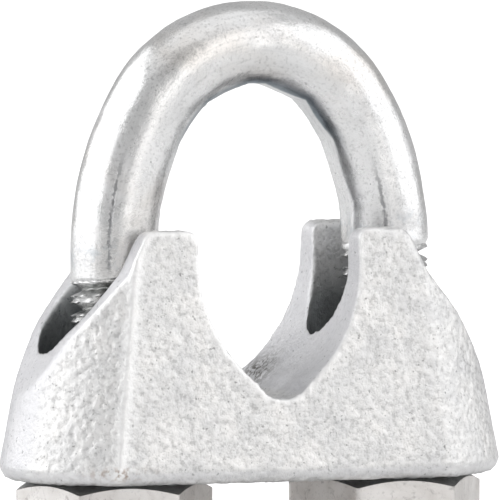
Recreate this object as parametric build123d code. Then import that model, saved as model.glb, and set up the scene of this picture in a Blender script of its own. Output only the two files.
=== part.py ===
"""Malleable wire rope clip for 3 mm (1/8 in) rope: a U-bolt, a cast saddle and two hex nuts.

Millimetres, and degrees where a name says angle, slope, turn or deg. X runs across the two legs, Y along
the rope and Z up. The origin is at the bottom centre, level with the ends of the legs, with the bend of
the U-bolt on top.
"""

import os
from math import acos, atan2, cos, degrees, radians, sin, sqrt, tan

from build123d import *

# U-bolt: #10-24 UNC rod
ROD_R = 4.826 / 2
PITCH = 25.4 / 24
THREAD_DEPTH = 0.6134 * PITCH
CREST_FLAT = 0.12 * PITCH
ROOT_FLAT = 0.1 * PITCH
THREAD_TOPS = {-1: 15.42, 1: 17.0}  # by side: the left leg and the right leg
END_CHAMFER = 0.6
LEG_X = 7.9
STRAIGHT_Z = 17.1
CROWN_R = 6.7
CROWN_Z = 21.5
PRESS_DEPTH = 0.3
SIDE_PRESS_ANGLES = (-6, 10, 26)
CROWN_PRESS_ANGLES = (52, 84)

# Hex nuts: 3/8 in across flats, 1/8 in high
NUT_FLATS = 9.525
NUT_HEIGHT = 3.175
NUT_BORE_R = ROD_R + 0.05
NUT_FACE_INSET = 0.12
NUT_CHAMFER_DEG = 28
NUT_SINK = 0.35
NUT_TURNS = {"nut_left": -9.5, "nut_right": -6.2}

# Saddle: its base rests on the nuts
BASE_Z = 4.475
EAR_TOP_Z = 18.3
BASE_PLAN = {"half_depth": 6.25, "crease_x": 9.8, "end_centre": 5.0, "tip_x": 14.5}
EAR_PLAN = {"half_depth": 4.65, "crease_x": 8.1, "end_centre": 4.2, "tip_x": 11.75}
BASE_ROUND = 0.8
EAR_OUTER_X = 7.6
SHOULDER = ((8.7, 16.0), (11.5, 12.7), (13.5, 9.3), (15.4, 4.5))
SHOULDER_ROUND = 3.0
EAR_OUTER_ROUND = 0.9
EAR_INNER_ROUND = 0.7

# Rope groove across the saddle: a round seat, a lip each side and curved flanks up to the ears
SEAT_R = 1.65
SEAT_BOTTOM_Z = 9.06
SEAT_HALF_ANGLE = 62
LIP_SLOPE = 38
GROOVE_HALF_WIDTH = 4.65

# Leg slots: as good as round at the base, longer towards the top so that the bend can enter them
SLOT_BASE_R = 2.8
SLOT_TOP_R = 2.75
SLOT_BASE_CENTRES = 0.02
SLOT_TOP_CENTRES = 5.3

# How far a cutting shape runs past what it cuts
OVERRUN = 0.5


def side_arc():
    """Radius and centre x of the arc that joins a straight leg to the crown arc."""
    rise = CROWN_Z - STRAIGHT_Z
    radius = (LEG_X**2 - CROWN_R**2 + rise**2) / (2 * (LEG_X - CROWN_R))
    return radius, LEG_X - radius


def u_centreline():
    """The rod's centreline: leg, side arc, crown arc, side arc, leg."""
    radius, centre_x = side_arc()
    turn = atan2(CROWN_Z - STRAIGHT_Z, -centre_x)
    half = turn / 2
    join = (CROWN_R * cos(turn), CROWN_Z + CROWN_R * sin(turn))
    middle = (centre_x + radius * cos(half), STRAIGHT_Z + radius * sin(half))
    right = ThreePointArc((LEG_X, 0, STRAIGHT_Z), (middle[0], 0, middle[1]), (join[0], 0, join[1]))
    crown = ThreePointArc((join[0], 0, join[1]), (0, 0, CROWN_Z + CROWN_R), (-join[0], 0, join[1]))
    left = ThreePointArc((-join[0], 0, join[1]), (-middle[0], 0, middle[1]), (-LEG_X, 0, STRAIGHT_Z))
    return Wire([right, crown, left])


def leg(side):
    """One straight leg: plain shank above, thread ridges below and a chamfered end, as one turned solid."""
    root = ROD_R - THREAD_DEPTH
    points = [(0, 0), (ROD_R - END_CHAMFER, 0), (ROD_R, END_CHAMFER)]
    z = END_CHAMFER
    while z + PITCH <= THREAD_TOPS[side]:
        points.append((ROD_R, z + CREST_FLAT / 2))
        points.append((root, z + (PITCH - ROOT_FLAT) / 2))
        points.append((root, z + (PITCH + ROOT_FLAT) / 2))
        z += PITCH
        points.append((ROD_R, z - CREST_FLAT / 2))
    points += [(ROD_R, STRAIGHT_Z), (0, STRAIGHT_Z)]
    profile = make_face(Plane.XZ * Polyline(*points, close=True))
    return Pos(side * LEG_X, 0, 0) * revolve(profile, Axis.Z)


def press_outline():
    """Corners of the flat-faced mandrel that the rod was bent round, right half, from the leg up."""
    radius, centre_x = side_arc()
    points = []
    for angles, reach, x, z in (
        (SIDE_PRESS_ANGLES, radius - ROD_R + PRESS_DEPTH, centre_x, STRAIGHT_Z),
        (CROWN_PRESS_ANGLES, CROWN_R - ROD_R + PRESS_DEPTH, 0, CROWN_Z),
    ):
        for angle in map(radians, angles):
            points.append((x + reach * cos(angle), z + reach * sin(angle)))
    return points


def u_bolt():
    """The bent rod with its inside pressed flat, and its two threaded legs."""
    path = u_centreline()
    section = Plane(origin=path @ 0, z_dir=path % 0) * Circle(ROD_R)
    bend = sweep(section, path)
    right = press_outline()
    left = [(-x, z) for x, z in reversed(right)]
    mandrel = make_face(Plane.XZ * Polyline(*right, *left, close=True))
    bend -= extrude(mandrel, amount=2 * ROD_R, both=True)
    return bend + leg(-1) + leg(1)


def nut(x, turn):
    """A hex nut with both faces chamfered and the bore countersunk, its top face on the saddle's base."""
    corner_r = NUT_FLATS / sqrt(3)
    face_r = NUT_FLATS / 2 - NUT_FACE_INSET
    drop = (corner_r - face_r) * tan(radians(NUT_CHAMFER_DEG))
    body = extrude(RegularPolygon(corner_r, 6), amount=NUT_HEIGHT)
    turned = [
        (0, 0),
        (face_r, 0),
        (corner_r, drop),
        (corner_r, NUT_HEIGHT - drop),
        (face_r, NUT_HEIGHT),
        (0, NUT_HEIGHT),
    ]
    body &= revolve(make_face(Plane.XZ * Polyline(*turned, close=True)), Axis.Z)
    body -= Cylinder(NUT_BORE_R, 3 * NUT_HEIGHT)
    wide = NUT_BORE_R + NUT_SINK
    from_base = (Align.CENTER, Align.CENTER, Align.MIN)
    body -= Cone(wide, NUT_BORE_R, NUT_SINK, align=from_base)
    body -= Pos(0, 0, NUT_HEIGHT - NUT_SINK) * Cone(NUT_BORE_R, wide, NUT_SINK, align=from_base)
    return Pos(x, 0, BASE_Z - NUT_HEIGHT) * Rot(0, 0, turn) * body


def plan(z, half_depth, crease_x, end_centre, tip_x):
    """The saddle's outline from above: flat front and back, which meet the elliptical ends at creases."""
    reach = tip_x - end_centre
    turn = acos((crease_x - end_centre) / reach)
    half_width = half_depth / sin(turn)
    ends = []
    for centre, middle in ((end_centre, 0), (-end_centre, 180)):
        first = middle - degrees(turn)
        ends.append(EllipticalCenterArc((centre, 0), reach, half_width, first, arc_size=2 * degrees(turn)))
    right, left = ends
    outline = [right, Line(right @ 1, left @ 0), left, Line(left @ 1, right @ 0)]
    return Plane.XY.offset(z) * make_face(Wire(outline))


def saddle_side():
    """The saddle seen along the rope: ears and sloping shoulders outside, the rope groove between them."""
    seat = radians(SEAT_HALF_ANGLE)
    lip = radians(LIP_SLOPE)
    seat_z = SEAT_BOTTOM_Z + SEAT_R
    lip_x, lip_z = SEAT_R * sin(seat), seat_z - SEAT_R * cos(seat)
    flank_r = (GROOVE_HALF_WIDTH - lip_x) / (1 - sin(lip))
    flank_x, flank_z = GROOVE_HALF_WIDTH - flank_r, lip_z + flank_r * cos(lip)
    halfway = (radians(90) + lip) / 2
    flank_mid = (flank_x + flank_r * sin(halfway), flank_z - flank_r * cos(halfway))
    over = EAR_TOP_Z + OVERRUN
    under = BASE_Z - OVERRUN

    outside = [(0, under), (SHOULDER[-1][0], under), *reversed(SHOULDER), (EAR_OUTER_X, EAR_TOP_Z)]
    block = make_face(Polyline(*outside, (0, EAR_TOP_Z), close=True))
    groove = make_face(
        Wire(
            [
                Line((0, over), (0, SEAT_BOTTOM_Z)),
                ThreePointArc(
                    (0, SEAT_BOTTOM_Z),
                    (SEAT_R * sin(seat / 2), seat_z - SEAT_R * cos(seat / 2)),
                    (lip_x, lip_z),
                ),
                ThreePointArc((lip_x, lip_z), flank_mid, (GROOVE_HALF_WIDTH, flank_z)),
                Line((GROOVE_HALF_WIDTH, flank_z), (GROOVE_HALF_WIDTH, over)),
                Line((GROOVE_HALF_WIDTH, over), (0, over)),
            ]
        )
    )
    half = block - groove

    for x, z, radius in (
        (EAR_OUTER_X, EAR_TOP_Z, EAR_OUTER_ROUND),
        (GROOVE_HALF_WIDTH, EAR_TOP_Z, EAR_INNER_ROUND),
        (*SHOULDER[1], SHOULDER_ROUND),
    ):
        half = fillet(half.vertices().sort_by_distance((x, z, 0))[0:1], radius)
    return half + mirror(half, Plane.YZ)


def leg_slot(x):
    """The passage of one leg: round at the base and slotted above."""
    low = Plane.XY.offset(BASE_Z - OVERRUN) * SlotCenterToCenter(SLOT_BASE_CENTRES, 2 * SLOT_BASE_R)
    high = Plane.XY.offset(EAR_TOP_Z + OVERRUN) * SlotCenterToCenter(SLOT_TOP_CENTRES, 2 * SLOT_TOP_R)
    return Pos(x, 0, 0) * loft([low, high], ruled=True)


def saddle():
    """The casting: tapered from its base to its ears, cut to its side profile and holed for the legs."""
    body = loft([plan(BASE_Z, **BASE_PLAN), plan(EAR_TOP_Z, **EAR_PLAN)], ruled=True)
    body = fillet(body.faces().sort_by(Axis.Z)[0].edges(), BASE_ROUND)
    side = Plane.XZ * saddle_side()
    body &= extrude(side, amount=2 * BASE_PLAN["half_depth"], both=True)
    for x in (-LEG_X, LEG_X):
        body -= leg_slot(x)
    return body


def main():
    os.makedirs("parts", exist_ok=True)
    pieces = {"u_bolt": u_bolt(), "saddle": saddle()}
    for name, x in (("nut_left", -LEG_X), ("nut_right", LEG_X)):
        pieces[name] = nut(x, NUT_TURNS[name])
    for name, shape in pieces.items():
        export_step(shape, f"parts/{name}.step")


main()
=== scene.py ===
"""Wire rope clip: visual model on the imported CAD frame.

Shapes are worked out in millimetres in the CAD frame (X across the legs, Y along the rope, Z up), and turned
into metres when a mesh is made.
"""

import math

import bmesh
import bpy
import numpy as np
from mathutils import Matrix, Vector, noise


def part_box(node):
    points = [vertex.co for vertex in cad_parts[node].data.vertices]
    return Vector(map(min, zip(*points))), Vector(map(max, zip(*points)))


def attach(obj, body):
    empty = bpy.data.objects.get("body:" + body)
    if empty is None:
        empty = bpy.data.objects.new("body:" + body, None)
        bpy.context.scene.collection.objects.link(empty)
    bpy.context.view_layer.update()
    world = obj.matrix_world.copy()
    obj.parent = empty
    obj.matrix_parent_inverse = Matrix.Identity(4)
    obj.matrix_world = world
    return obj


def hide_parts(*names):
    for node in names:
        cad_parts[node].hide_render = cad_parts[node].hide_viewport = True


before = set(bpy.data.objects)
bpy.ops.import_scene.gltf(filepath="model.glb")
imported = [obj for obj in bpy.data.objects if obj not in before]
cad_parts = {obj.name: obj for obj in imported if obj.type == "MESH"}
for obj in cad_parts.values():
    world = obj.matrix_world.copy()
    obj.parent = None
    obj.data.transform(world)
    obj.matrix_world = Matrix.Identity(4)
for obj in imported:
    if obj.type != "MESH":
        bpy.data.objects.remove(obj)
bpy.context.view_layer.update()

MM = 0.001


def box_mm(node):
    """Lowest and highest corners of a CAD node, in millimetres."""
    low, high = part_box(node)
    return np.array(low) / MM, np.array(high) / MM


# Sizes read from the CAD frame
ROD_LOW, ROD_HIGH = box_mm("u_bolt")
ROD_R = (ROD_HIGH[1] - ROD_LOW[1]) / 2
LEG_X = ROD_HIGH[0] - ROD_R
CROWN_TOP = ROD_HIGH[2]
SADDLE_LOW, SADDLE_HIGH = box_mm("saddle")
BASE_Z = SADDLE_LOW[2]
EAR_TOP_Z = SADDLE_HIGH[2]

# U-bolt sizes that a box doesn't give
PITCH = 25.4 / 24
THREAD_DEPTH = 0.6134 * PITCH
CREST_SHARE = 0.34
FLANK_SHARE = 0.54
CREST_GROOVE = 0.30  # depth of the groove along each crest, as a share of the thread's depth
RUN_OUT = 0.12 * PITCH
THREAD_TOPS = {-1: 15.65, 1: 17.1}  # at the front of each leg
THREAD_STEP_TURN = 0.195  # the thread starts and ends at the back
THREAD_PHASES = {-1: 0.904, 1: 0.751}
END_CHAMFER = 0.6
STRAIGHT_Z = 17.1
CROWN_R = 6.7
CROWN_Z = CROWN_TOP - ROD_R - CROWN_R
PRESS_DEPTH = 0.3
PRESS_RANGE = 0.6
SIDE_PRESS_ANGLES = (-6, 10, 26)
CROWN_PRESS_ANGLES = (52, 84)
RING = 96
ROWS_PER_PITCH = 14
BEND_STEP = 0.14
DENT_DEPTHS = (0.05, 0.03)
SEAM_COLUMNS = {-1: -31, 1: -19}  # where the rolling seam runs, in columns of the ring, by leg

# Hex nuts
NUT_FLATS = 9.525
NUT_FACE_INSET = 0.30
NUT_CHAMFER = math.tan(math.radians(28))
NUT_TURNS = {"nut_left": -9.5, "nut_right": -6.2}
NUT_RING = 288
NUT_CORNER_POWER = 90  # the higher it is, the sharper the six corners
BORE_ROWS = 48
BORE_SINK = 0.3
BORE_CLEARANCE = 0.04
BORE_R = ROD_R - 0.5413 * PITCH

# Saddle casting
VOXEL = 0.13
RELAX_ROUNDS = {"skin": 3, "soft": 30, "rim": 16, "shade": 10}
BOX_INSET = 0.005  # keeps the skin inside the CAD box
GROOVE_EDGE = (4.9, 8.8)
SLOT_RIM_REACH = 3.9
SLOT_SHADE_REACH = 4.6
NUT_SHADE_REACH = 6.2
BEAD_WIDTH = 0.36
BEAD_HEIGHT = 0.10
BEAD_CLEAR = 0.5
WORN_WIDTH = 1.8
RUST_WIDTH = 1.6
PEBBLE_HEIGHT = 0.050
PIT_DEPTH = 0.04
SWELL_HEIGHT = 0.04
LAY_SPACING = 3.1
LAY_HEIGHT = 0.04
SEAT_X = 1.6
SLOT_HALF_RUN = 2.65
CREASE_LOW = (9.8, 6.25, BASE_Z)
CREASE_HIGH = (8.1, 4.65, EAR_TOP_Z)
BASE_BAND = 0.72
SEAT_SPECKS = (1.6, 3.3)


# ---------------------------------------------------------------- mesh helpers


def grid_faces(rows, columns, close_rows=False):
    """Quads of a grid whose columns wrap round, and whose rows do too if asked."""
    row = np.arange(rows if close_rows else rows - 1)[:, None]
    column = np.arange(columns)[None, :]
    after, beside = (row + 1) % rows, (column + 1) % columns
    here, there = row * columns, after * columns
    corners = [here + column, here + beside, there + beside, there + column]
    quads = np.stack([np.broadcast_to(c, (row.shape[0], columns)) for c in corners], axis=-1)
    return quads.reshape(-1, 4).tolist()


def make_piece(name, points_mm, faces, material):
    """A smooth-shaded object from millimetre points, with its faces turned outwards."""
    mesh = bpy.data.meshes.new(name)
    mesh.from_pydata((np.asarray(points_mm) * MM).tolist(), [], faces)
    work = bmesh.new()
    work.from_mesh(mesh)
    bmesh.ops.recalc_face_normals(work, faces=work.faces)
    work.to_mesh(mesh)
    work.free()
    mesh.shade_smooth()
    mesh.materials.append(material)
    piece = bpy.data.objects.new(name, mesh)
    bpy.context.scene.collection.objects.link(piece)
    return piece


def get_points(mesh):
    points = np.empty(len(mesh.vertices) * 3)
    mesh.vertices.foreach_get("co", points)
    return points.reshape(-1, 3) / MM


def set_points(mesh, points_mm):
    mesh.vertices.foreach_set("co", (points_mm * MM).ravel())
    mesh.update()


def get_normals(mesh):
    normals = np.empty(len(mesh.vertices) * 3, dtype=np.float32)
    mesh.vertex_normals.foreach_get("vector", normals)
    return normals.reshape(-1, 3).astype(float)


def write_attribute(mesh, name, values):
    layer = mesh.attributes.new(name, "FLOAT", "POINT")
    layer.data.foreach_set("value", np.asarray(values, dtype=np.float32))


def noise_at(points, scale, seed):
    """Perlin noise, about -0.5 to 0.5, with features of 1 / scale millimetres."""
    shift = Vector((17.3 * seed, -9.1 * seed, 4.7 * seed))
    return np.array([noise.noise(Vector(p) * scale + shift) for p in points])


def smooth_step(value, low, high):
    t = np.clip((value - low) / (high - low), 0, 1)
    return t * t * (3 - 2 * t)


# ---------------------------------------------------------------- shader helpers


def add_node(tree, kind, links=(), **settings):
    """A shader node. links pairs each input's name or number with its value or the socket it comes from."""
    node = tree.nodes.new(kind)
    for name, value in settings.items():
        setattr(node, name, value)
    for name, value in links:
        socket = node.inputs[name]
        if isinstance(value, bpy.types.NodeSocket):
            tree.links.new(value, socket)
        else:
            socket.default_value = value
    return node


def ramp(tree, factor, stops):
    """A colour ramp; stops is (position, grey or colour) pairs."""
    node = add_node(tree, "ShaderNodeValToRGB", [("Fac", factor)])
    elements = node.color_ramp.elements
    while len(elements) < len(stops):
        elements.new(0.5)
    for element, (position, colour) in zip(elements, stops):
        element.position = position
        element.color = (*colour, 1) if isinstance(colour, tuple) else (colour, colour, colour, 1)
    return node.outputs["Color"]


def mix(tree, blend, factor, a, b):
    node = add_node(tree, "ShaderNodeMix", data_type="RGBA", blend_type=blend)
    for socket, value in ((node.inputs[0], factor), (node.inputs[6], a), (node.inputs[7], b)):
        if isinstance(value, bpy.types.NodeSocket):
            tree.links.new(value, socket)
        else:
            socket.default_value = value
    return node.outputs[2]


def maths(tree, operation, *values):
    node = add_node(tree, "ShaderNodeMath", list(enumerate(values)), operation=operation)
    return node.outputs[0]


def noise_node(tree, vector, scale, detail=3.0, rough=0.5, distortion=0.0):
    """Noise with features of about 1 / scale millimetres when vector is in millimetres."""
    inputs = [("Vector", vector), ("Scale", scale), ("Detail", detail)]
    inputs += [("Roughness", rough), ("Distortion", distortion)]
    return add_node(tree, "ShaderNodeTexNoise", inputs).outputs["Fac"]


def attribute(tree, name):
    return add_node(tree, "ShaderNodeAttribute", attribute_name=name)


def start_material(name, **values):
    """A material with a Principled shader, and its object coordinates in millimetres."""
    material = bpy.data.materials.new(name)
    material.use_nodes = True
    tree = material.node_tree
    shader = tree.nodes["Principled BSDF"]
    for socket, value in values.items():
        shader.inputs[socket.replace("_", " ")].default_value = value
    place = add_node(tree, "ShaderNodeTexCoord").outputs["Object"]
    millimetres = add_node(tree, "ShaderNodeMapping", [("Vector", place), ("Scale", (1 / MM,) * 3)])
    return material, tree, shader, millimetres.outputs["Vector"]


def bump(tree, height, distance_mm, strength=1.0, below=None):
    inputs = [("Height", height), ("Distance", distance_mm * MM), ("Strength", strength)]
    if below is not None:
        inputs.append(("Normal", below))
    return add_node(tree, "ShaderNodeBump", inputs).outputs["Normal"]


# ---------------------------------------------------------------- materials


def rod_material():
    """Bright zinc on drawn rod: draw lines, stains, pits, a ragged seam, painted shade in thread roots,
    painted dark reflection on pressed rims.
    """
    material, tree, shader, place = start_material("rod_zinc", Metallic=1.0)
    flow = attribute(tree, "flow").outputs["Vector"]
    drawn = add_node(tree, "ShaderNodeMapping", [("Vector", flow), ("Scale", (0.10, 3.0, 0.0))])
    streaks = noise_node(tree, drawn.outputs["Vector"], 1.0, 5.0, 0.6)
    cloud = noise_node(tree, place, 0.30, 4.0, 0.6, 0.7)
    warm = noise_node(tree, place, 0.21, 3.0, 0.5, 0.4)
    speckle = noise_node(tree, place, 5.5, 4.0, 0.7)
    pits = noise_node(tree, place, 3.4, 2.0, 0.5)
    zinc = [(0.36, (0.75, 0.75, 0.755)), (0.5, (0.83, 0.832, 0.835)), (0.64, (0.89, 0.89, 0.895))]
    tone = ramp(tree, cloud, zinc)
    stained = ramp(tree, warm, [(0.52, 0.0), (0.68, 0.5)])
    tone = mix(tree, "MIX", stained, tone, (0.70, 0.665, 0.63, 1))
    tone = mix(tree, "MULTIPLY", 0.45, tone, ramp(tree, streaks, [(0.3, 0.78), (0.5, 1.0)]))
    tone = mix(tree, "MULTIPLY", 0.75, tone, ramp(tree, speckle, [(0.34, 0.66), (0.48, 1.0)]))
    tone = mix(tree, "MULTIPLY", 0.8, tone, ramp(tree, pits, [(0.235, 0.25), (0.275, 1.0)]))

    handled = attribute(tree, "handled").outputs["Fac"]
    blotch = ramp(tree, noise_node(tree, place, 0.9, 3.0, 0.6), [(0.50, 0.0), (0.62, 0.5)])
    tone = mix(tree, "MIX", maths(tree, "MULTIPLY", handled, blotch), tone, (0.47, 0.51, 0.55, 1))
    # Painted shade: the thread roots darken with cut depth, over a slightly darker real tone on the whole
    # threaded part.
    thread = attribute(tree, "thread").outputs["Fac"]
    tone = mix(tree, "MIX", maths(tree, "MULTIPLY", thread, 0.8), tone, (0.25, 0.258, 0.25, 1))

    ragged = noise_node(tree, place, 3.2, 4.0, 0.65)
    away = add_node(tree, "ShaderNodeSeparateXYZ", [("Vector", flow)]).outputs["Z"]
    away = maths(tree, "ADD", away, maths(tree, "MULTIPLY", maths(tree, "SUBTRACT", ragged, 0.5), 0.55))
    on_seam = ramp(tree, away, [(0.03, 1.0), (0.14, 0.0)])
    seam = maths(tree, "MULTIPLY", on_seam, attribute(tree, "seam").outputs["Fac"])
    tone = mix(tree, "MIX", seam, tone, (0.27, 0.275, 0.285, 1))

    # Painted dark reflection: a dark slate band along the rims of the pressed faces, strongest towards the
    # crown top.
    pressed = attribute(tree, "pressed").outputs["Fac"]
    pressed = maths(tree, "ADD", pressed, maths(tree, "MULTIPLY", ragged, 0.10))
    rim = ramp(tree, pressed, [(0.15, 0.0), (0.33, 0.5), (0.50, 1.0), (0.68, 1.0), (0.73, 0.25)])
    rim = maths(tree, "MULTIPLY", rim, attribute(tree, "rim").outputs["Fac"])
    tone = mix(tree, "MIX", rim, tone, (0.17, 0.205, 0.235, 1))
    tree.links.new(tone, shader.inputs["Base Color"])
    rough = add_node(tree, "ShaderNodeMapRange", [("Value", cloud), ("To Min", 0.17), ("To Max", 0.36)])
    tree.links.new(rough.outputs["Result"], shader.inputs["Roughness"])
    fine = bump(tree, speckle, 0.016, 0.7)
    fine = bump(tree, maths(tree, "SUBTRACT", 1.0, seam), 0.03, 0.7, fine)
    tree.links.new(bump(tree, streaks, 0.018, 0.7, fine), shader.inputs["Normal"])
    return material


def cast_material():
    """Galvanised sand casting: mottled and pebbly, smoother and cooler on the faces the pattern drew past.

    Painted highlights line its edges, painted shade fills its slots, hollows and nut gaps, its rope seat has
    dark specks, brown pits run along its base.
    """
    material, tree, shader, place = start_material("cast_zinc", Metallic=0.8)
    edge_highlight = attribute(tree, "edge_highlight").outputs["Fac"]
    painted_shade = attribute(tree, "painted_shade").outputs["Fac"]
    smooth = attribute(tree, "smooth").outputs["Fac"]
    mottle = noise_node(tree, place, 0.55, 5.0, 0.62, 0.5)
    grain = noise_node(tree, place, 4.0, 4.0, 0.6)
    specks = noise_node(tree, place, 4.4, 2.0, 0.5)
    zinc = [(0.34, (0.73, 0.73, 0.735)), (0.5, (0.80, 0.798, 0.797)), (0.66, (0.87, 0.862, 0.855))]
    tone = ramp(tree, mottle, zinc)
    gaps = ramp(tree, grain, [(0.36, 0.64), (0.48, 0.93), (0.57, 1.0)])
    tone = mix(tree, "MULTIPLY", 0.75, tone, gaps)
    tone = mix(tree, "MIX", maths(tree, "MULTIPLY", smooth, 0.65), tone, (0.68, 0.68, 0.71, 1))
    tone = mix(tree, "MULTIPLY", 0.7, tone, ramp(tree, specks, [(0.27, 0.30), (0.33, 1.0)]))
    # Painted highlight: edges and crease beads are lightened to near white.
    tone = mix(tree, "MIX", maths(tree, "MULTIPLY", edge_highlight, 0.85), tone, (0.96, 0.96, 0.96, 1))

    speck_noise = ramp(tree, noise_node(tree, place, 4.6, 2.0, 0.5), [(0.46, 0.22), (0.55, 1.0)])
    dark_specks = maths(tree, "MULTIPLY", attribute(tree, "dark_specks").outputs["Fac"], speck_noise)
    tone = mix(tree, "MIX", dark_specks, tone, (0.10, 0.092, 0.080, 1))
    rust_spots = ramp(tree, noise_node(tree, place, 2.2, 3.0, 0.6), [(0.50, 0.0), (0.62, 1.0)])
    rust = maths(tree, "MULTIPLY", attribute(tree, "rust").outputs["Fac"], rust_spots)
    tone = mix(tree, "MIX", rust, tone, (0.36, 0.27, 0.22, 1))
    # Painted shade: slots, hollows, the gap over the nuts and a line along the base are darkened to slate.
    tone = mix(tree, "MIX", painted_shade, tone, (0.085, 0.108, 0.120, 1))
    tree.links.new(tone, shader.inputs["Base Color"])
    rough = add_node(tree, "ShaderNodeMapRange", [("Value", grain), ("To Min", 0.30), ("To Max", 0.58)])
    tree.links.new(rough.outputs["Result"], shader.inputs["Roughness"])
    coarse = bump(tree, grain, 0.07, 0.6)
    fine = noise_node(tree, place, 8.0, 3.0, 0.6)
    tree.links.new(bump(tree, fine, 0.03, 0.5, coarse), shader.inputs["Normal"])
    return material


def nut_material():
    """Zinc on a pressed nut: warm satin grey with stamping marks and dark scuffs."""
    material, tree, shader, place = start_material("nut_zinc", Metallic=0.95)
    cloud = noise_node(tree, place, 0.5, 4.0, 0.55, 0.4)
    speckle = noise_node(tree, place, 4.0, 4.0, 0.7)
    scuff = noise_node(tree, place, 1.3, 3.0, 0.6, 1.2)
    tone = ramp(tree, cloud, [(0.36, (0.66, 0.635, 0.615)), (0.6, (0.80, 0.78, 0.765))])
    tone = mix(tree, "MULTIPLY", 0.55, tone, ramp(tree, speckle, [(0.3, 0.62), (0.45, 1.0)]))
    tone = mix(tree, "MULTIPLY", 0.6, tone, ramp(tree, scuff, [(0.30, 0.55), (0.40, 1.0)]))
    tree.links.new(tone, shader.inputs["Base Color"])
    rough = add_node(tree, "ShaderNodeMapRange", [("Value", cloud), ("To Min", 0.28), ("To Max", 0.46)])
    tree.links.new(rough.outputs["Result"], shader.inputs["Roughness"])
    tree.links.new(bump(tree, speckle, 0.022, 0.6), shader.inputs["Normal"])
    return material


def floor_material():
    """A white sweep that photographs as plain white, yet reflects in the metal as a pale floor."""
    material, tree, shader, place = start_material("pale_floor", Roughness=0.9)
    shade = ramp(tree, noise_node(tree, place, 0.01, 2.0), [(0.3, 0.86), (0.7, 0.88)])
    tree.links.new(shade, shader.inputs["Base Color"])
    shader.inputs["Emission Color"].default_value = (1, 1, 1, 1)
    seen = add_node(tree, "ShaderNodeLightPath").outputs["Is Camera Ray"]
    tree.links.new(maths(tree, "MULTIPLY", seen, FLOOR_GLOW), shader.inputs["Emission Strength"])
    return material


# ---------------------------------------------------------------- U-bolt


def side_arc():
    """Radius and centre x of the arc that joins a straight leg to the crown arc."""
    rise = CROWN_Z - STRAIGHT_Z
    radius = (LEG_X**2 - CROWN_R**2 + rise**2) / (2 * (LEG_X - CROWN_R))
    return radius, LEG_X - radius


SIDE_R, SIDE_X = side_arc()
SIDE_TURN = math.atan2(CROWN_Z - STRAIGHT_Z, -SIDE_X)


def press_outline():
    """Corners of the flat-faced mandrel inside the bend, right half, from the leg up."""
    corners = []
    for angles, reach, x, z in (
        (SIDE_PRESS_ANGLES, SIDE_R - ROD_R + PRESS_DEPTH, SIDE_X, STRAIGHT_Z),
        (CROWN_PRESS_ANGLES, CROWN_R - ROD_R + PRESS_DEPTH, 0, CROWN_Z),
    ):
        for angle in map(math.radians, angles):
            corners.append((x + reach * math.cos(angle), z + reach * math.sin(angle)))
    return np.array(corners)


def half_centreline():
    """Stations from the right leg's end to the crown: centre x and z, and the direction to the inside."""
    stations = []
    for z in np.arange(0, STRAIGHT_Z, PITCH / ROWS_PER_PITCH):
        stations.append((LEG_X, z, -1.0, 0.0))
    for angle in np.linspace(0, SIDE_TURN, round(SIDE_R * SIDE_TURN / BEND_STEP), endpoint=False):
        c, s = math.cos(angle), math.sin(angle)
        stations.append((SIDE_X + SIDE_R * c, STRAIGHT_Z + SIDE_R * s, -c, -s))
    span = math.pi / 2 - SIDE_TURN
    for angle in np.linspace(SIDE_TURN, math.pi / 2, round(CROWN_R * span / BEND_STEP) + 1):
        c, s = math.cos(angle), math.sin(angle)
        stations.append((CROWN_R * c, CROWN_Z + CROWN_R * s, -c, -s))
    return np.array(stations)


def thread_radius(turn, z, side):
    """Radius of the right-hand thread of one leg; turn is in whole turns round the leg, seen from above."""
    phase = z / PITCH - turn + THREAD_PHASES[side]
    from_crest = 2 * np.abs(phase - np.round(phase))
    depth = np.clip((from_crest - CREST_SHARE) / FLANK_SHARE, 0, 1)
    depth = np.maximum(depth, CREST_GROOVE * np.clip(1 - from_crest / CREST_SHARE, 0, 1))
    top = THREAD_TOPS[side] + PITCH * ((turn - THREAD_STEP_TURN) % 1 - 0.5)
    return ROD_R - THREAD_DEPTH * depth * smooth_step(top - z, 0, RUN_OUT)


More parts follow.
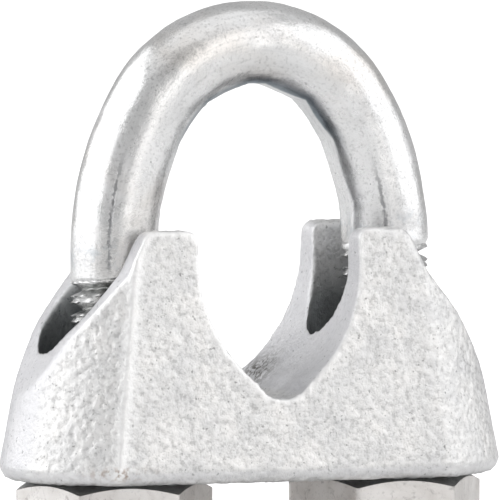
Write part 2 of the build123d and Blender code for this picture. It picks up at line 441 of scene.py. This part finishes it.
def u_bolt_piece(material):
    half = half_centreline()
    mirrored = half[:-1] * (-1, 1, -1, 1)
    stations = np.concatenate([mirrored, half[::-1]])
    columns = RING
    around = np.arange(columns) / columns
    length = np.concatenate([[0], np.cumsum(np.hypot(*np.diff(stations[:, :2], axis=0).T))])
    outline = press_outline()
    outline = np.concatenate([outline, (outline * (-1, 1))[::-1]])
    points, flow, pressed, thread_root_shade, heights, plain = [], [], [], [], [], []
    for (x, z, in_x, in_z), s in zip(stations, length):
        side = 1 if x > 0 else -1
        angle = 2 * math.pi * around
        radius = np.full(columns, ROD_R)
        if z < THREAD_TOPS[side] + PITCH:
            turn = around if side < 0 else 0.5 - around
            radius = thread_radius(turn, z, side)
            radius = np.minimum(radius, ROD_R - END_CHAMFER + z) if z < END_CHAMFER else radius
        thread_root_shade.append((ROD_R - radius) / THREAD_DEPTH)
        inward = radius * np.cos(angle)
        sideways = radius * np.sin(angle)
        reach = distance_to_outline(outline, x, z, in_x, in_z) if z > THREAD_TOPS[side] else 2 * ROD_R
        pressed.append(np.clip(inward - reach, -PRESS_RANGE, PRESS_DEPTH))
        inward = np.minimum(inward, reach)
        points.append(np.stack([x + inward * in_x, sideways, z + inward * in_z], axis=1))
        from_seam = np.abs((np.arange(columns) - SEAM_COLUMNS[side] + columns / 2) % columns - columns / 2)
        from_seam = from_seam * 2 * math.pi * ROD_R / columns
        flow.append(np.stack([np.full(columns, s), ROD_R * (angle - math.pi), from_seam], axis=1))
        heights.append(np.full(columns, z))
        plain.append(np.full(columns, z - THREAD_TOPS[side]))
    points = np.concatenate(points)
    points = dent(points, stations, columns)
    faces = grid_faces(len(stations), columns)
    faces.append(list(range(columns))[::-1])
    faces.append(list(range(len(points) - columns, len(points))))
    piece = make_piece("u_bolt_rod", points, faces, material)
    mesh = piece.data
    mesh.set_sharp_from_angle(angle=math.radians(50))
    height = np.concatenate(heights)
    plain = np.concatenate(plain)
    shank = smooth_step(plain, 0.1, 0.9)
    # The thread attribute paints shade into the thread roots by cut depth, and gives the whole threaded part
    # a slightly darker tone.
    write_attribute(mesh, "thread", np.maximum(np.concatenate(thread_root_shade), 0.35 * smooth_step(-plain, -0.2, 0.6)))
    write_attribute(mesh, "pressed", (np.concatenate(pressed) + PRESS_RANGE) / (PRESS_RANGE + PRESS_DEPTH))
    # rim sets how strong the painted dark reflection on the pressed rims is, strongest towards the crown
    # top.
    write_attribute(mesh, "rim", 0.12 + 0.75 * smooth_step(height, CROWN_Z + 1, CROWN_Z + 3.5))
    write_attribute(mesh, "seam", 0.8 * shank * smooth_step(CROWN_Z + 1.5 - height, 0, 3))
    write_attribute(mesh, "handled", shank * smooth_step(2.6 - plain, 0, 1.5))
    layer = mesh.attributes.new("flow", "FLOAT_VECTOR", "POINT")
    layer.data.foreach_set("vector", np.concatenate(flow).ravel())
    return piece


def distance_to_outline(outline, x, z, in_x, in_z):
    """How far it is straight inwards from a centreline point to the mandrel; two radii where it misses."""
    a, b = outline[:-1], outline[1:]
    across = b - a
    det = in_x * across[:, 1] - in_z * across[:, 0]
    det = np.where(np.abs(det) < 1e-9, 1e-9, det)
    to_a = a - (x, z)
    reach = (to_a[:, 0] * across[:, 1] - to_a[:, 1] * across[:, 0]) / det
    along = (to_a[:, 0] * in_z - to_a[:, 1] * in_x) / det
    hits = reach[(along >= 0) & (along <= 1) & (reach > 0)]
    return hits.min() if len(hits) else 2 * ROD_R


def dent(points, stations, columns):
    """Very shallow waviness and handling dents on the plain rod, inwards only."""
    centres = np.stack([stations[:, 0], np.zeros(len(stations)), stations[:, 1]], axis=1)
    centres = np.repeat(centres, columns, axis=0)
    plain = smooth_step(points[:, 2], max(THREAD_TOPS.values()), max(THREAD_TOPS.values()) + 1)
    depth = np.zeros(len(points))
    chosen = plain > 0
    depth[chosen] = DENT_DEPTHS[0] * np.clip(noise_at(points[chosen], 0.55, 3) + 0.25, 0, 1)
    depth[chosen] += DENT_DEPTHS[1] * np.clip(noise_at(points[chosen], 1.7, 5), 0, 1)
    outward = points - centres
    outward /= np.linalg.norm(outward, axis=1, keepdims=True)
    return points - outward * (depth * plain)[:, None]


# ---------------------------------------------------------------- nuts


def nut_piece(node, material):
    """A hex nut: chamfered faces, slightly rounded corners and a threaded, countersunk bore."""
    low, high = box_mm(node)
    side = 1 if low[0] > 0 else -1
    bottom, height = low[2], high[2] - low[2]
    columns = NUT_RING
    around = np.arange(columns) / columns
    angle = 2 * math.pi * around
    turned = angle - math.radians(NUT_TURNS[node])
    sides = np.stack([np.maximum(np.cos(turned - math.radians(30 + 60 * k)), 0) for k in range(6)])
    hexagon = NUT_FLATS / 2 / (np.sum(sides**NUT_CORNER_POWER, axis=0) ** (1 / NUT_CORNER_POWER))
    face_r = NUT_FLATS / 2 - NUT_FACE_INSET
    drop = (hexagon - face_r) * NUT_CHAMFER
    sink_r = ROD_R + BORE_SINK

    rows = []
    for z in np.linspace(0, height, BORE_ROWS):
        thread = thread_radius(around, bottom + z, side) + BORE_CLEARANCE
        thread = np.maximum(thread, BORE_R)
        sink = sink_r - min(z, height - z)
        rows.append((np.maximum(thread, sink), np.full(columns, z)))
    for share in np.linspace(0, 1, 7)[1:]:
        rows.append((np.full(columns, sink_r + share * (face_r - sink_r)), np.full(columns, height)))
    for share in (0.5, 1.0):
        rows.append((face_r + share * (hexagon - face_r), height - share * drop))
    for share in np.linspace(0, 1, 12)[1:]:
        rows.append((hexagon, height - drop - share * (height - 2 * drop)))
    for share in (0.5, 0.0):
        rows.append((face_r + share * (hexagon - face_r), share * drop))
    for share in np.linspace(1, 0, 7)[1:-1]:
        rows.append((np.full(columns, sink_r + share * (face_r - sink_r)), np.zeros(columns)))

    points = []
    for radius, z in rows:
        across, along = side * LEG_X + radius * np.cos(angle), radius * np.sin(angle)
        points.append(np.stack([across, along, bottom + z], axis=1))
    piece = make_piece(f"{node}_hex", np.concatenate(points), grid_faces(len(rows), columns, True), material)
    piece.data.set_sharp_from_angle(angle=math.radians(24))
    return piece


# ---------------------------------------------------------------- saddle


def relax(points, edges, count, rounds, strength=0.5):
    """Moves each row of points towards the mean of its neighbours, the given number of times."""
    share = np.zeros(count)
    np.add.at(share, edges[:, 0], 1)
    np.add.at(share, edges[:, 1], 1)
    for _ in range(rounds):
        total = np.stack(
            [
                np.bincount(edges[:, 0], points[edges[:, 1], axis], count)
                + np.bincount(edges[:, 1], points[edges[:, 0], axis], count)
                for axis in range(points.shape[1])
            ],
            axis=1,
        )
        points = points + strength * (total / share[:, None] - points)
    return points


def remeshed(node):
    """An even, welded skin over a CAD node, as a new mesh."""
    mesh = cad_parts[node].data.copy()
    work = bmesh.new()
    work.from_mesh(mesh)
    bmesh.ops.remove_doubles(work, verts=work.verts, dist=1e-7)
    work.to_mesh(mesh)
    work.free()
    source = bpy.data.objects.new(f"{node}_source", mesh)
    bpy.context.scene.collection.objects.link(source)
    modifier = source.modifiers.new("skin", "REMESH")
    modifier.mode = "VOXEL"
    modifier.voxel_size = VOXEL * MM
    bpy.context.view_layer.update()
    depsgraph = bpy.context.evaluated_depsgraph_get()
    skin = bpy.data.meshes.new_from_object(source.evaluated_get(depsgraph))
    bpy.data.objects.remove(source)
    return skin


def crease_distance(x, y, z):
    """Distance from the nearest of the four upright creases between the flat faces and the rounded ends."""
    share = (z - CREASE_LOW[2]) / (CREASE_HIGH[2] - CREASE_LOW[2])
    crease_x = CREASE_LOW[0] + share * (CREASE_HIGH[0] - CREASE_LOW[0])
    crease_y = CREASE_LOW[1] + share * (CREASE_HIGH[1] - CREASE_LOW[1])
    return np.hypot(np.abs(x) - crease_x, np.abs(y) - crease_y)


def rounded_points(mesh, edges, count):
    """The skin's points with soft slot rims and two worn creases, and a copy relaxed much further."""
    points = relax(get_points(mesh), edges, count, RELAX_ROUNDS["skin"])
    soft = relax(points, edges, count, RELAX_ROUNDS["soft"])
    worn_away = np.exp(-((crease_distance(*points.T) / WORN_WIDTH) ** 2)) * (points[:, 0] * points[:, 1] < 0)
    points += (soft - points) * (worn_away * (points[:, 2] > BASE_Z + 1))[:, None]
    along_slot = np.maximum(np.abs(np.abs(points[:, 0]) - LEG_X) - SLOT_HALF_RUN, 0)
    rim = smooth_step(SLOT_RIM_REACH - np.hypot(along_slot, points[:, 1]), 0, 0.5)
    points += (relax(points, edges, count, RELAX_ROUNDS["rim"]) - points) * rim[:, None]
    return points, soft


def seat_dark_specks(x, y, in_groove):
    """Dark speckled patches in two opposite quarters of the rope seat."""
    dark_specks = np.zeros(len(x))
    for turn in (1, -1):
        away = ((turn * x - SEAT_SPECKS[0]) / 0.8) ** 2 + ((turn * y - SEAT_SPECKS[1]) / 1.9) ** 2
        dark_specks += in_groove * np.exp(-away)
    return dark_specks


def saddle_piece(material):
    """The casting: the CAD shape with rounded edges, beaded creases, a laid rope seat and a pebbly skin."""
    mesh = remeshed("saddle")
    edges = np.empty(len(mesh.edges) * 2, dtype=np.int64)
    mesh.edges.foreach_get("vertices", edges)
    edges = edges.reshape(-1, 2)
    count = len(mesh.vertices)
    points, soft = rounded_points(mesh, edges, count)
    set_points(mesh, points)
    normals = get_normals(mesh)
    convex = np.sum((points - soft) * normals, axis=1)

    x, y, z = points.T
    across = smooth_step(0.6 - np.abs(normals[:, 1]), 0, 0.3)
    in_groove = across * (np.abs(x) < GROOVE_EDGE[0]) * (z > GROOVE_EDGE[1]) * (normals[:, 2] > -0.3)
    leg_r = np.hypot(np.abs(x) - LEG_X, y)
    facing_leg = np.sum(normals * np.stack([np.sign(x) * LEG_X - x, -y, 0 * y], axis=1), axis=1) > 0
    in_slot = facing_leg * smooth_step(SLOT_SHADE_REACH - leg_r, 0, 0.6) * (np.abs(y) < 3.0)
    underside = smooth_step(-normals[:, 2], 0.6, 0.9)
    band = smooth_step(BASE_Z + BASE_BAND + 0.08 - z, 0, 0.16) * (1 - underside)
    smooth = across * (1 - underside) * smooth_step(0.95 - normals[:, 2], 0, 0.2)
    smooth = np.maximum(smooth, 0.6 * band)
    from_crease = crease_distance(x, y, z)
    sharp = x * y > 0
    bead = np.exp(-((from_crease / BEAD_WIDTH) ** 2)) * sharp

    skin = 1 - 0.8 * np.maximum(smooth, in_slot)
    skin = skin * (1 - 0.8 * np.exp(-((from_crease / BEAD_CLEAR) ** 2)) * sharp)
    pebbles = noise_at(points, 2.8, 1) + 0.7 * noise_at(points, 4.4, 2)
    swell = noise_at(points, 0.35, 4)
    pits = smooth_step(noise_at(points, 1.1, 6), 0.27, 0.45)
    ragged = noise_at(points, 1.5, 8)
    height = skin * (PEBBLE_HEIGHT * pebbles - PIT_DEPTH * pits) + SWELL_HEIGHT * swell * (1 - underside)
    height += bead * (BEAD_HEIGHT + 0.02 * ragged) - 0.025 * band
    lay = np.sin(2 * math.pi * (y + 0.9 * x) / LAY_SPACING)
    height += LAY_HEIGHT * in_groove * lay * smooth_step(SEAT_X + 0.9 - np.abs(x), 0, 1.0)
    moved = points + normals * (height - 0.04)[:, None]
    moved = np.clip(moved, SADDLE_LOW + BOX_INSET, SADDLE_HIGH - BOX_INSET)
    set_points(mesh, moved)

    # Painted highlight on convex edges and along the crease beads, kept out of the slots.
    edge_highlight_mask = smooth_step(convex, 0.012, 0.10) * (0.8 + 0.7 * ragged) * (1 - in_slot) + 0.9 * bead
    # Painted shade: deeper in the slots, on the underside over the nuts, along the base step, in concave
    # parts and low in the seat.
    depth_in_slot = smooth_step(EAR_TOP_Z - z, 2.2, 4.6)
    nut_gap_shade = underside * smooth_step(NUT_SHADE_REACH - leg_r, 0, 0.8)
    base_step_shade = np.exp(-(((z - BASE_Z - BASE_BAND) / 0.12) ** 2)) * (0.5 + ragged) * (1 - underside)
    painted_shade = in_slot * (0.06 + 0.62 * depth_in_slot) + 0.75 * nut_gap_shade + 0.16 * base_step_shade
    painted_shade += 0.25 * smooth_step(-convex, 0.03, 0.16) + 0.05 * in_groove * smooth_step(13.5 - z, 0, 3)
    dark_specks = seat_dark_specks(x, y, in_groove)
    rust = np.exp(-(((z - BASE_Z - BASE_BAND) / 0.3) ** 2)) * sharp
    rust = rust * np.exp(-((from_crease / RUST_WIDTH) ** 2))
    write_attribute(mesh, "edge_highlight", np.clip(edge_highlight_mask, 0, 1))
    painted_shade = relax(painted_shade[:, None], edges, count, RELAX_ROUNDS["shade"])[:, 0]
    write_attribute(mesh, "painted_shade", np.clip(painted_shade, 0, 1))
    write_attribute(mesh, "smooth", smooth)
    write_attribute(mesh, "dark_specks", np.clip(1.2 * dark_specks, 0, 1))
    write_attribute(mesh, "rust", rust)
    mesh.materials.clear()
    mesh.materials.append(material)
    mesh.shade_smooth()
    piece = bpy.data.objects.new("saddle_casting", mesh)
    bpy.context.scene.collection.objects.link(piece)
    return piece


# ---------------------------------------------------------------- stage


def area_light(name, azimuth, elevation, distance, size, brightness, colour=(1, 1, 1)):
    """A soft box that faces the object; azimuth is measured round from the camera, positive to its right."""
    data = bpy.data.lights.new(name, "AREA")
    data.shape = "RECTANGLE"
    data.size, data.size_y = size
    data.energy = brightness * math.pi * size[0] * size[1]
    data.color = colour
    light = bpy.data.objects.new(name, data)
    a, e = math.radians(azimuth + CAMERA_AZIMUTH), math.radians(elevation)
    back = Vector((math.sin(a) * math.cos(e), -math.cos(a) * math.cos(e), math.sin(e)))
    light.location = TARGET + back * distance
    light.rotation_mode = "QUATERNION"
    light.rotation_quaternion = (-back).to_track_quat("-Z", "Y")
    light.visible_camera = False
    bpy.context.scene.collection.objects.link(light)


CAMERA_AZIMUTH = -20.0
CAMERA_PITCH = 3.35
CAMERA_DISTANCE = 0.6
CAMERA_LENS = 786.0
TARGET = Vector((0, 0, 0.01689))
FLOOR_DROP = 0.05 * MM  # keeps the floor clear of the leg ends
FLOOR_GLOW = 0.6
SURROUND = 0.50


def make_camera():
    data = bpy.data.cameras.new("camera")
    data.sensor_width = 36
    data.lens = CAMERA_LENS
    data.clip_start, data.clip_end = 0.01, 20
    camera = bpy.data.objects.new("camera", data)
    a, e = math.radians(CAMERA_AZIMUTH), math.radians(CAMERA_PITCH)
    back = Vector((math.sin(a) * math.cos(e), -math.cos(a) * math.cos(e), math.sin(e)))
    camera.location = TARGET + back * CAMERA_DISTANCE
    camera.rotation_mode = "QUATERNION"
    camera.rotation_quaternion = (-back).to_track_quat("-Z", "Y")
    bpy.context.scene.collection.objects.link(camera)
    bpy.context.scene.camera = camera


def make_stage():
    """A pale floor, a white surround and soft boxes either side of the camera."""
    floor_mesh = bpy.data.meshes.new("floor")
    work = bmesh.new()
    bmesh.ops.create_circle(work, cap_ends=True, segments=128, radius=3.0)
    work.to_mesh(floor_mesh)
    work.free()
    floor_mesh.materials.append(floor_material())
    floor = bpy.data.objects.new("floor", floor_mesh)
    floor.location.z = -FLOOR_DROP
    bpy.context.scene.collection.objects.link(floor)

    world = bpy.data.worlds.new("studio")
    bpy.context.scene.world = world
    world.use_nodes = True
    tree = world.node_tree
    background = tree.nodes["Background"]
    seen = add_node(tree, "ShaderNodeLightPath").outputs["Is Camera Ray"]
    shown = mix(tree, "MIX", seen, (SURROUND, SURROUND, SURROUND, 1), (1, 1, 1, 1))
    tree.links.new(shown, background.inputs["Color"])
    background.inputs["Strength"].default_value = 1.0

    area_light("left_box", -89, 14, 0.7, (1.25, 1.1), 1.30)
    area_light("right_box", 86, 14, 0.7, (0.85, 1.1), 1.05)
    area_light("warm_fill", 32, 12, 0.75, (0.32, 1.0), 1.0, (1.0, 0.97, 0.94))
    area_light("top_box", 10, 80, 0.8, (0.85, 0.85), 0.52)


# ---------------------------------------------------------------- assembly


def main():
    bpy.context.scene.view_settings.view_transform = "Standard"
    rod = u_bolt_piece(rod_material())
    casting = saddle_piece(cast_material())
    nut_look = nut_material()
    pieces = [(rod, "u_bolt", "bright_zinc_rod"), (casting, "saddle", "cast_zinc_saddle")]
    pieces += [(nut_piece(node, nut_look), node, "zinc_nut") for node in ("nut_left", "nut_right")]
    for piece, node, slot in pieces:
        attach(piece, node)
        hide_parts(node)
    make_camera()
    make_stage()


main()
